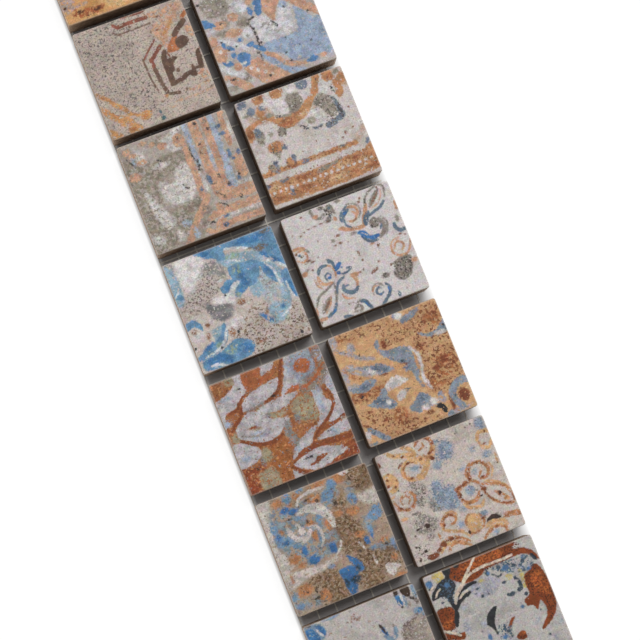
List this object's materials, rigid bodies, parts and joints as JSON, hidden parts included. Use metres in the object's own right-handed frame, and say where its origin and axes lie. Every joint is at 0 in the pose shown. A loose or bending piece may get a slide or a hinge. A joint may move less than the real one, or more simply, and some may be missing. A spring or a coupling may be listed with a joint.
{
  "type": "mosaic border tile",
  "caption": "Flat strip of square printed ceramic chips, two abreast with open joints, bonded to a thread net.",
  "frame": {"origin": "middle of the underside, where the net lies on the floor", "axes": "+Y along the strip towards its first row, +X across the two columns to the right one, +Z out of the printed faces"},
  "size_m": [0.048, 0.2982, 0.0052],
  "materials": {
    "printed_ceramic": "matt printed glaze",
    "net_thread": "resin-coated glass-fibre thread"
  },
  "bodies": {
    "root": {"chip_left_01": "printed_ceramic", "chip_left_02": "printed_ceramic", "chip_left_03": "printed_ceramic", "chip_left_04": "printed_ceramic", "chip_left_05": "printed_ceramic", "chip_left_06": "printed_ceramic", "chip_left_07": "printed_ceramic", "chip_left_08": "printed_ceramic", "chip_left_09": "printed_ceramic", "chip_left_10": "printed_ceramic", "chip_left_11": "printed_ceramic", "chip_left_12": "printed_ceramic", "chip_right_01": "printed_ceramic", "chip_right_02": "printed_ceramic", "chip_right_03": "printed_ceramic", "chip_right_04": "printed_ceramic", "chip_right_05": "printed_ceramic", "chip_right_06": "printed_ceramic", "chip_right_07": "printed_ceramic", "chip_right_08": "printed_ceramic", "chip_right_09": "printed_ceramic", "chip_right_10": "printed_ceramic", "chip_right_11": "printed_ceramic", "chip_right_12": "printed_ceramic", "net_length_1": "net_thread", "net_length_2": "net_thread", "net_length_3": "net_thread", "net_length_4": "net_thread"}
  },
  "joints": []
}
